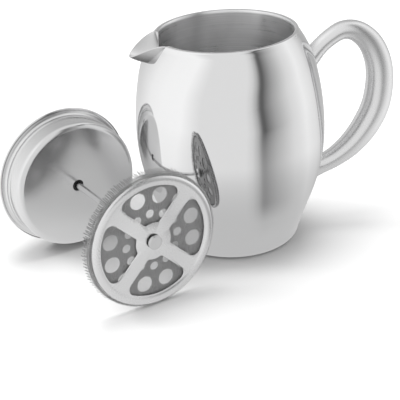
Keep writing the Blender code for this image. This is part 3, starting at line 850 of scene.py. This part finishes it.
def window_outline():
    """A quarter window between two spokes, centred on +X, with its corners rounded."""
    half = SPOKE / 2.0
    limit = math.pi / 4.0
    outline = []
    far = WINDOW_OUT - WINDOW_CORNER
    reach = limit - math.asin((half + WINDOW_CORNER) / far)
    for step in range(25):
        turn = reach * (2.0 * step / 24.0 - 1.0)
        outline.append((WINDOW_OUT * math.cos(turn), WINDOW_OUT * math.sin(turn)))
    x, y = (far * math.cos(reach), far * math.sin(reach))
    for step in range(1, 9):
        turn = reach + (limit + math.pi / 2.0 - reach) * step / 8.0
        outline.append((x + WINDOW_CORNER * math.cos(turn), y + WINDOW_CORNER * math.sin(turn)))
    small = 0.0018
    near = WINDOW_IN + small
    low = limit - math.asin((half + small) / near)
    centre = (near * math.cos(low), near * math.sin(low))
    for step in range(7):
        turn = limit + math.pi / 2.0 + (low + math.pi / 2.0 - limit) * step / 6.0
        outline.append((centre[0] + small * math.cos(turn), centre[1] + small * math.sin(turn)))
    for step in range(1, 8):
        turn = low * (1.0 - step / 8.0)
        outline.append((WINDOW_IN * math.cos(turn), WINDOW_IN * math.sin(turn)))
    mirrored = [(x, -y) for x, y in outline[25:]]
    outline.append((WINDOW_IN, 0.0))
    return outline + mirrored[::-1]


def window_mesh(low, high):
    """One window's upright solid."""
    mesh = bmesh.new()
    face = mesh.faces.new([mesh.verts.new((x, y, low)) for x, y in window_outline()])
    lifted = bmesh.ops.extrude_face_region(mesh, geom=[face])["geom"]
    for vert in (item for item in lifted if isinstance(item, bmesh.types.BMVert)):
        vert.co.z = high
    bmesh.ops.recalc_face_normals(mesh, faces=mesh.faces)
    return mesh


cross = piece("cross_plate", sweep(plate_line, 192), None, "filter", "filter_cross_plate")
cutters = bmesh.new()
for index in range(4):
    window = window_mesh(PLATE - 0.004, PLATE + 0.004)
    turn = Matrix.Rotation(window_turn + index * math.pi / 2.0, 4, "Z")
    bmesh.ops.transform(window, matrix=turn, verts=window.verts)
    holder = bpy.data.meshes.new("window")
    window.to_mesh(holder)
    window.free()
    cutters.from_mesh(holder)
    bpy.data.meshes.remove(holder)
windows = piece("windows", cutters, None, None)
cut(cross, windows)
bpy.data.objects.remove(windows, do_unlink=True)
softened = bmesh.new()
softened.from_mesh(cross.data)
window_edges = [
    edge
    for edge in softened.edges
    if len(edge.link_faces) == 2 and edge.calc_face_angle(0.0) > math.radians(60.0)
    and all(0.006 < vert.co.xy.length < CROSS - 0.004 for vert in edge.verts)
]
bmesh.ops.bevel(
    softened,
    geom=window_edges,
    offset=0.00035,
    segments=3,
    profile=0.5,
    affect="EDGES",
    material=-1,
)
bmesh.ops.transform(softened, matrix=lid_matrix, verts=softened.verts)
softened.to_mesh(cross.data)
softened.free()
cross_steel = steel(
    "tumbled_cross_plate",
    tone=0.86,
    roughness=0.27,
    roughness_change=0.10,
    tone_change=0.07,
    bump=0.35,
    turn=to_lid,
    grain=(1400.0, 1400.0, 1400.0),
    line_depth=0.6,
    wave_depth=0.8,
)
cross.data.materials.clear()
cross.data.materials.append(cross_steel)
cross.data.shade_smooth()
cross.data.set_sharp_from_angle(angle=math.radians(40.0))

# ------------------------------------------------------------------- hub nut
# The turned nut that clamps the stack to the rod: a low round head with a broken edge and faint face rings.
# The groove where the head meets the plate is painted dark: a painted shade takes the nut's colour to tone
# 0.05 there.

face_z = PLATE - 0.0002
nut_line = [(0.0, face_z - 0.0029), (0.0030, face_z - 0.0030), (0.0044, face_z - 0.0030)]
nut_line += arc(0.0046, face_z - 0.0024, 0.0006, -90.0, 0.0, 5)
nut_line += [(0.0052, face_z - 0.0007), (0.0047, face_z - 0.0003), (0.0047, face_z), (0.0039, face_z)]
nut_line += [(0.0039, PLATE + 0.0026), (BORE_ROD, PLATE + 0.0026)]
nut_line += [(BORE_ROD, PLATE - 0.0016), (0.0, PLATE - 0.0016)]
nut_steel = steel(
    "turned_nut",
    tone=0.70,
    roughness=0.20,
    roughness_change=0.10,
    tone_change=0.06,
    bump=0.3,
    turn=to_lid,
    grain=(900.0, 900.0, 900.0),
    line_depth=0.5,
)
# Painted shade: within about a millimetre of the plate the nut's colour goes to tone 0.05, the groove's
# painted shade.
nut_place = next(item for item in nut_steel.node_tree.nodes if item.type == "MAPPING").outputs["Vector"]
paint_shade_by_height(nut_steel, nut_place, start=face_z - 0.0014, end=face_z - 0.0010, tone=0.05)
piece("hub_nut", sweep(nut_line, 48), nut_steel, "filter", "filter_hub_nut", lid_matrix)

# ---------------------------------------------------------------------- mesh
# Fine wire cloth cut to a disc and trapped behind the cross plate. Warp and weft wires pass over and under
# one another, and their cut ends stand out as a rough fringe.

MESH_PITCH = 0.00080
MESH_WIRE = 0.00015
MESH_HOLE = 0.0044
MESH_SKEW = 12.0
WIRE_SIDES = 3
mesh_low = PLATE + 0.0013


def rolled_grid(steps, sides, place):
    """A grid rolled into a tube: place gives the point for each step along it and each side round it."""
    mesh = bmesh.new()
    bmesh.ops.create_grid(mesh, x_segments=steps, y_segments=sides, size=1.0)
    for vert in mesh.verts:
        step = round((vert.co.x + 1.0) / 2.0 * steps)
        side = round((vert.co.y + 1.0) / 2.0 * sides) % sides
        vert.co = place(step, side)
    bmesh.ops.remove_doubles(mesh, verts=mesh.verts, dist=1e-7)
    bmesh.ops.holes_fill(mesh, edges=[edge for edge in mesh.edges if edge.is_boundary])
    bmesh.ops.recalc_face_normals(mesh, faces=mesh.faces)
    return mesh


def wire_tube(start, end, offset, index, direction):
    """One wire along X, which passes over and under the wires that cross it."""
    first = math.ceil(start / MESH_PITCH)
    last = math.floor(end / MESH_PITCH)
    stops = [start] + [number * MESH_PITCH for number in range(first, last + 1)] + [end]

    def place(step, side):
        turn = 2.0 * math.pi * side / WIRE_SIDES + math.pi / 2.0
        over = (first + step - 1 + index) % 2 == 0
        lift = MESH_WIRE * direction * (1.0 if over else -1.0)
        return Vector((stops[step], offset + math.cos(turn) * MESH_WIRE, math.sin(turn) * MESH_WIRE + lift))

    return rolled_grid(len(stops) - 1, WIRE_SIDES, place)


def wire_cloth(direction, quarter):
    """One set of parallel wires cut to the disc and to the hole for the nut."""
    cloth = bmesh.new()
    holder = bpy.data.meshes.new("wire")
    half = int(FILTER_R / MESH_PITCH)
    for index in range(-half, half + 1):
        offset = index * MESH_PITCH
        reach = math.sqrt(max(FILTER_R**2 - offset**2, 0.0))
        if reach < 2.0 * MESH_PITCH:
            continue
        spans = [(-reach, reach)]
        if abs(offset) < MESH_HOLE:
            inner = math.sqrt(MESH_HOLE**2 - offset**2)
            spans = [(-reach, -inner), (inner, reach)]
        for start, end in spans:
            wire = wire_tube(start, end, offset, index, direction)
            wire.to_mesh(holder)
            wire.free()
            cloth.from_mesh(holder)
    bpy.data.meshes.remove(holder)
    turn = Matrix.Rotation(math.radians(90.0 * quarter + MESH_SKEW), 4, "Z")
    lay = Matrix.Translation((0.0, 0.0, mesh_low + 0.0003)) @ turn
    bmesh.ops.transform(cloth, matrix=lay, verts=cloth.verts)
    return cloth


mesh_steel = steel(
    "drawn_mesh_wire",
    tone=0.72,
    roughness=0.35,
    roughness_change=0.10,
    tone_change=0.20,
    bump=0.0,
    turn=to_lid,
    grain=(700.0, 700.0, 700.0),
)
for name, cloth in (("mesh_warp", wire_cloth(1.0, 0)), ("mesh_weft", wire_cloth(-1.0, 1))):
    piece(name, cloth, mesh_steel, "filter", "filter_mesh", lid_matrix, sharp=180.0)

FRINGE_WIRES = 236
FRINGE_SIDE = math.radians(35.0)


def fringe_mesh():
    """Cut wire ends folded back over the coil, long on the free side and short towards the pot and table."""
    mesh = bmesh.new()
    for index in range(FRINGE_WIRES):
        wobble = math.sin(index * 12.9898) * 43758.5453
        chance = wobble - math.floor(wobble)
        turn = 2.0 * math.pi * (index + 0.5 * chance) / FRINGE_WIRES
        reach = 0.0009 + 0.0009 * chance if index % 2 else 0.0004
        room = min(max((math.cos(turn - FRINGE_SIDE) + 0.26) / 0.52, 0.0), 1.0)
        room = room * room * (3.0 - 2.0 * room)
        edge = FILTER_R - 0.0003 * (1.0 - room)
        stops = (
            (FILTER_R - 0.0012, mesh_low + 0.0003),
            (edge - 0.0001, mesh_low + 0.0010),
            (edge, mesh_low + 0.0030 + 0.0004 * room),
            (edge + reach * room, mesh_low + 0.0032 + room * (0.0026 + 0.0014 * chance)),
        )
        ring = bmesh.ops.create_circle(mesh, segments=4, radius=0.00034)["verts"]
        rows = [ring]
        for stop in stops[1:]:
            ring = grow_ring(mesh, ring)
            rows.append(ring)
        lean = Matrix.Rotation(turn + 0.02 * (chance - 0.5), 4, "Z") @ Matrix.Rotation(math.pi / 2.0, 4, "Y")
        for row, (out, height) in zip(rows, stops):
            place = Vector((math.cos(turn) * out, math.sin(turn) * out, height))
            for vert in row:
                vert.co = place + lean @ vert.co
        ends = {edge for row in (rows[0], rows[-1]) for vert in row for edge in vert.link_edges}
        bmesh.ops.holes_fill(mesh, edges=[edge for edge in ends if edge.is_boundary])
    bmesh.ops.recalc_face_normals(mesh, faces=mesh.faces)
    return mesh


fringe_steel = steel(
    "cut_wire_ends",
    tone=0.36,
    roughness=0.42,
    roughness_change=0.10,
    tone_change=0.30,
    bump=0.0,
    turn=to_lid,
    grain=(500.0, 500.0, 500.0),
)
fringe = fringe_mesh()
piece("mesh_fringe", fringe, fringe_steel, "filter", "filter_mesh", lid_matrix, sharp=180.0)

# ---------------------------------------------------------- perforated plate
# The plate behind the mesh: thin sheet punched with a ring of large and a ring of small holes, its edge
# turned up to hold the coil.

HOLES = 12
OUTER_CIRCLE = 0.0335
OUTER_HOLE = 0.0060
INNER_CIRCLE = 0.0205
INNER_HOLE = 0.0033
COIL = 0.0018

spiral_low = mesh_low + 0.0004 + 0.0003
spiral_edge = FILTER_R - 2.0 * COIL - 0.0003 - 0.0012
spiral_line = ring_line(
    [
        (0.0044, spiral_low),
        (spiral_edge, spiral_low),
        (spiral_edge + 0.0006, spiral_low + 0.0004),
        (spiral_edge + 0.0012, spiral_low + 0.0018),
        (spiral_edge + 0.0006, spiral_low + 0.0022),
        (spiral_edge, spiral_low + 0.0011),
        (spiral_edge - 0.0006, spiral_low + 0.0008),
        (0.0044, spiral_low + 0.0008),
    ]
)
spiral_mesh = sweep(spiral_line, 144)
spiral = piece("perforated_plate", spiral_mesh, None, "filter", "filter_spiral_plate")
punches = bmesh.new()
for index in range(HOLES):
    for circle, radius, shift, sides in (
        (OUTER_CIRCLE, OUTER_HOLE, 0.5, 36),
        (INNER_CIRCLE, INNER_HOLE, 0.0, 24),
    ):
        turn = window_turn + 2.0 * math.pi * (index + shift) / HOLES
        centre = Matrix.Translation((circle * math.cos(turn), circle * math.sin(turn), spiral_low))
        bmesh.ops.create_cone(
            punches,
            cap_ends=True,
            segments=sides,
            radius1=radius,
            radius2=radius,
            depth=0.006,
            matrix=centre,
        )
punch_solids = piece("punches", punches, None, None)
cut(spiral, punch_solids)
bpy.data.objects.remove(punch_solids, do_unlink=True)
spiral.data.transform(lid_matrix)
# Painted shade: the plate's steel is given a tone of 0.20, far below bare sheet, standing in for the shade it
# lies in behind the mesh.
spiral_steel = steel(
    "punched_plate",
    tone=0.20,
    roughness=0.28,
    roughness_change=0.10,
    tone_change=0.08,
    bump=0.25,
    turn=to_lid,
    grain=(2200.0, 160.0, 900.0),
)
spiral.data.materials.clear()
spiral.data.materials.append(spiral_steel)
spiral.data.shade_smooth()
spiral.data.set_sharp_from_angle(angle=math.radians(35.0))

# ---------------------------------------------------------------------- coil
# The sprung coil round the plate's edge that wipes the bore: fine wire wound in about two hundred turns, its
# ends hooked together.

COIL_TURNS = 210
COIL_WIRE = 0.00036
COIL_SIDES = 5
COIL_STEPS = 10


def coil_mesh():
    """The wire as a tube rolled from a grid, wound round a ring and joined end to end."""
    total = COIL_TURNS * COIL_STEPS

    def place(step, side):
        round_turn = 2.0 * math.pi * (step % total) / total
        wind = 2.0 * math.pi * (step % COIL_STEPS) / COIL_STEPS
        turn = 2.0 * math.pi * side / COIL_SIDES
        outward = Vector((math.cos(round_turn), math.sin(round_turn), 0.0))
        forward = Vector((-math.sin(round_turn), math.cos(round_turn), 0.0))
        spoke = outward * math.cos(wind) + Vector((0.0, 0.0, math.sin(wind)))
        centre = outward * (FILTER_R - COIL) + spoke * (COIL - COIL_WIRE)
        centre.z += spiral_low + COIL + 0.0002
        return centre + (spoke * math.cos(turn) + forward * math.sin(turn)) * COIL_WIRE

    return rolled_grid(total, COIL_SIDES, place)


coil_steel = steel(
    "spring_wire",
    tone=0.60,
    roughness=0.20,
    roughness_change=0.08,
    tone_change=0.10,
    bump=0.0,
    turn=to_lid,
    grain=(900.0, 900.0, 900.0),
)
piece("coil_spring", coil_mesh(), coil_steel, "filter", "filter_coil", lid_matrix, sharp=180.0)

# --------------------------------------------------------------------- stage
# A plain white sheet to stand on and two broad soft lamps, from the left and from above. Polished steel shows
# the room round it, so the sheet and the walls carry painted light for each bearing that only reflections
# see: pale on the left, a painted dark upright band right of the camera, then grey and pale again. In
# reflections the sheet's painted light is also darker close to the pot, a painted shade.

TO_CAMERA = Vector((-0.2419, -0.9703, 0.0))
TO_RIGHT = Vector((0.9703, -0.2419, 0.0))

floor_mesh = bmesh.new()
bmesh.ops.create_grid(floor_mesh, x_segments=1, y_segments=1, size=6.0)
floor = piece("floor_sheet", floor_mesh, None, None)
# Painted light seen only in reflections, as (bearing from the camera in degrees, tone); 28 to 42 degrees is
# the painted dark band.
BEARING_TONES = (
    (-180.0, 0.55),
    (-140.0, 0.80),
    (-112.0, 1.04),
    (-92.0, 1.10),
    (-62.0, 1.12),
    (-46.0, 0.95),
    (-38.0, 0.88),
    (15.0, 0.88),
    (22.0, 0.76),
    (28.0, 0.50),
    (33.0, 0.15),
    (36.0, 0.13),
    (42.0, 0.27),
    (50.0, 0.44),
    (57.0, 0.56),
    (65.0, 0.70),
    (73.0, 0.83),
    (83.0, 0.92),
    (95.0, 1.05),
    (115.0, 0.90),
    (140.0, 0.50),
    (180.0, 0.55),
)


def make_studio_group():
    """The room as polished steel sees it, as painted light: a tone for each bearing, with a painted dark band
    right of the camera, lifted towards an even ceiling and cut to a quarter for rays that have bounced off a
    diffuse surface.
    """
    inputs = (
        ("Vector", "NodeSocketVector", None),
        ("Band", "NodeSocketFloat", 1.0),
        ("Shift", "NodeSocketFloat", 0.0),
        ("Bounced", "NodeSocketFloat", 0.0),
    )
    group, entry, leave = new_group("painted_studio_light", inputs, (("Tone", "NodeSocketFloat"),))
    links = group.links
    ahead = node(group, "ShaderNodeVectorMath", _operation="DOT_PRODUCT")
    aside = node(group, "ShaderNodeVectorMath", _operation="DOT_PRODUCT")
    for dot, axis in ((ahead, TO_CAMERA), (aside, TO_RIGHT)):
        links.new(entry.outputs["Vector"], dot.inputs[0])
        dot.inputs[1].default_value = axis
    bearing = math_node(group, "ARCTAN2", aside.outputs["Value"], ahead.outputs["Value"])
    centred = math_node(group, "MULTIPLY_ADD", bearing, 0.5 / math.pi, 0.5)
    place = math_node(group, "SUBTRACT", centred, entry.outputs["Shift"])
    ramp = node(group, "ShaderNodeValToRGB")
    stops = ramp.color_ramp.elements
    while len(stops) < len(BEARING_TONES):
        stops.new(0.5)
    for stop, (degrees, tone) in zip(stops, BEARING_TONES):
        stop.position = degrees / 360.0 + 0.5
    for stop, (degrees, tone) in zip(stops, BEARING_TONES):
        stop.color = (tone, tone, tone, 1.0)
    links.new(place, ramp.inputs["Fac"])
    away = math_node(group, "SUBTRACT", ramp.outputs["Color"], 0.88)
    banded = math_node(group, "MULTIPLY_ADD", away, entry.outputs["Band"], 0.88)
    kept = math_node(group, "MULTIPLY_ADD", entry.outputs["Bounced"], -0.75, 1.0)
    links.new(math_node(group, "MULTIPLY", banded, kept), leave.inputs["Tone"])
    return group


painted_studio_light = make_studio_group()
floor_paint = bpy.data.materials.new("white_sheet")
floor_paint.use_nodes = True
floor_tree = floor_paint.node_tree
floor_tree.nodes.clear()
floor_out = node(floor_tree, "ShaderNodeOutputMaterial")
floor_diffuse = node(floor_tree, "ShaderNodeBsdfDiffuse", Color=(0.86, 0.86, 0.86, 1.0))
floor_place = node(floor_tree, "ShaderNodeTexCoord")
floor_span = node(floor_tree, "ShaderNodeVectorMath", _operation="LENGTH")
floor_tree.links.new(floor_place.outputs["Object"], floor_span.inputs[0])
# Painted shade: in reflections the sheet's painted light is darkened to 0.70 close to the pot, fading out by
# 0.24 m.
floor_near_painted_shade = node(
    floor_tree, "ShaderNodeMapRange", _interpolation_type="SMOOTHSTEP",
    From__Min=0.07, From__Max=0.24, To__Min=0.70, To__Max=1.0,
)
floor_tree.links.new(floor_span.outputs["Value"], floor_near_painted_shade.inputs["Value"])
floor_foot = node(
    floor_tree, "ShaderNodeMapRange", _interpolation_type="SMOOTHSTEP",
    From__Min=0.058, From__Max=0.105, To__Max=0.60,
)
floor_tree.links.new(floor_span.outputs["Value"], floor_foot.inputs["Value"])
floor_far = node(floor_tree, "ShaderNodeMapRange", From__Min=0.10, From__Max=0.60, To__Max=0.40)
floor_tree.links.new(floor_span.outputs["Value"], floor_far.inputs["Value"])
floor_band = math_node(floor_tree, "ADD", floor_foot.outputs["Result"], floor_far.outputs["Result"])
floor_shift = math_node(floor_tree, "MULTIPLY_ADD", floor_far.outputs["Result"], 0.045, -0.008)
floor_tone = node(floor_tree, "ShaderNodeGroup")
floor_tone.node_tree = painted_studio_light
floor_tree.links.new(floor_place.outputs["Object"], floor_tone.inputs["Vector"])
floor_tree.links.new(floor_band, floor_tone.inputs["Band"])
floor_tree.links.new(floor_shift, floor_tone.inputs["Shift"])
# Painted light: glossy rays see the sheet glow with the bearing tone times the painted shade near the pot,
# while the camera sees its diffuse white.
floor_glow = node(floor_tree, "ShaderNodeEmission", Strength=1.0)
floor_shade = math_node(floor_tree, "MULTIPLY", floor_tone.outputs["Tone"], floor_near_painted_shade.outputs["Result"])
floor_tree.links.new(floor_shade, floor_glow.inputs["Color"])
floor_path = node(floor_tree, "ShaderNodeLightPath")
floor_bounced = math_node(floor_tree, "GREATER_THAN", floor_path.outputs["Diffuse Depth"], 0.5)
floor_tree.links.new(floor_bounced, floor_tone.inputs["Bounced"])
floor_mix = node(floor_tree, "ShaderNodeMixShader")
floor_tree.links.new(floor_path.outputs["Is Glossy Ray"], floor_mix.inputs["Fac"])
floor_tree.links.new(floor_diffuse.outputs[0], floor_mix.inputs[1])
floor_tree.links.new(floor_glow.outputs[0], floor_mix.inputs[2])
floor_tree.links.new(floor_mix.outputs[0], floor_out.inputs["Surface"])
floor.data.materials.append(floor_paint)


def lamp(name, place, target, width, height, watts):
    """A soft rectangular lamp aimed at a point, kept out of the polished steel."""
    light = bpy.data.lights.new(name, "AREA")
    light.shape = "RECTANGLE"
    light.size = width
    light.size_y = height
    light.energy = watts
    made = bpy.data.objects.new(name, light)
    made.location = place
    aim = Vector(target) - Vector(place)
    made.rotation_euler = aim.to_track_quat("-Z", "Y").to_euler()
    made.visible_glossy = False
    scene.collection.objects.link(made)
    return made


middle = Vector((-0.03, -0.02, 0.08))
lamp("left_softbox", TO_RIGHT * -1.15 - TO_CAMERA * 0.15 + Vector((0.0, 0.0, 0.85)), middle, 0.5, 0.5, 5.0)
lamp("top_softbox", TO_CAMERA * -0.2 + Vector((0.0, 0.0, 1.6)), middle, 1.0, 1.0, 16.0)

world = bpy.data.worlds.new("white_room")
scene.world = world
world.use_nodes = True
world_tree = world.node_tree
world_tree.nodes.clear()
world_out = node(world_tree, "ShaderNodeOutputWorld")
world_path = node(world_tree, "ShaderNodeLightPath")
world_white = node(world_tree, "ShaderNodeBackground", Color=(1.0, 1.0, 1.0, 1.0))
world_clear = math_node(
    world_tree, "MAXIMUM", world_path.outputs["Is Camera Ray"], world_path.outputs["Is Transmission Ray"]
)
world_tree.links.new(
    math_node(world_tree, "MULTIPLY_ADD", world_clear, 0.10, 0.90), world_white.inputs["Strength"]
)
world_place = node(world_tree, "ShaderNodeTexCoord")
world_tone = node(world_tree, "ShaderNodeGroup")
world_tone.node_tree = painted_studio_light
world_tree.links.new(world_place.outputs["Generated"], world_tone.inputs["Vector"])
world_rise = node(world_tree, "ShaderNodeSeparateXYZ")
world_tree.links.new(world_place.outputs["Generated"], world_rise.inputs[0])
world_band = node(
    world_tree, "ShaderNodeMapRange", _interpolation_type="SMOOTHSTEP",
    From__Min=0.80, From__Max=0.98, To__Min=1.0, To__Max=0.0,
)
world_tree.links.new(world_rise.outputs["Z"], world_band.inputs["Value"])
world_tree.links.new(world_band.outputs["Result"], world_tone.inputs["Band"])
world_low = node(world_tree, "ShaderNodeClamp", Min=0.0, Max=0.70)
world_tree.links.new(world_rise.outputs["Z"], world_low.inputs["Value"])
world_shift = math_node(world_tree, "MULTIPLY_ADD", world_low.outputs["Result"], 0.052, 0.012)
world_tree.links.new(world_shift, world_tone.inputs["Shift"])
world_bounced = math_node(world_tree, "GREATER_THAN", world_path.outputs["Diffuse Depth"], 0.5)
world_tree.links.new(world_bounced, world_tone.inputs["Bounced"])
world_room = node(world_tree, "ShaderNodeBackground", Strength=1.0)
world_tree.links.new(world_tone.outputs["Tone"], world_room.inputs["Color"])
world_mix = node(world_tree, "ShaderNodeMixShader")
world_tree.links.new(world_path.outputs["Is Glossy Ray"], world_mix.inputs["Fac"])
world_tree.links.new(world_white.outputs[0], world_mix.inputs[1])
world_tree.links.new(world_room.outputs[0], world_mix.inputs[2])
world_tree.links.new(world_mix.outputs[0], world_out.inputs["Surface"])

# -------------------------------------------------------------------- camera
# A long lens a little under a metre away, looking down on the set at about twenty-five degrees.

lens = bpy.data.cameras.new("long_lens")
lens.sensor_width = 36.0
lens.lens = 116.8
camera = bpy.data.objects.new("long_lens", lens)
forward = Vector((-0.02606, 0.90623, -0.42199))
right = Vector((0.99845, 0.00279, -0.05567))
pot_turn = Matrix.Rotation(math.radians(-14.0), 3, "Z")
forward = pot_turn @ forward
right = pot_turn @ right
up = right.cross(forward)
basis = Matrix((right, up, -forward)).transposed().to_4x4()
basis.translation = pot_turn @ Vector((0.0, -0.91105, 0.45341))
camera.matrix_world = basis
scene.collection.objects.link(camera)
scene.camera = camera
scene.view_settings.view_transform = "Standard"
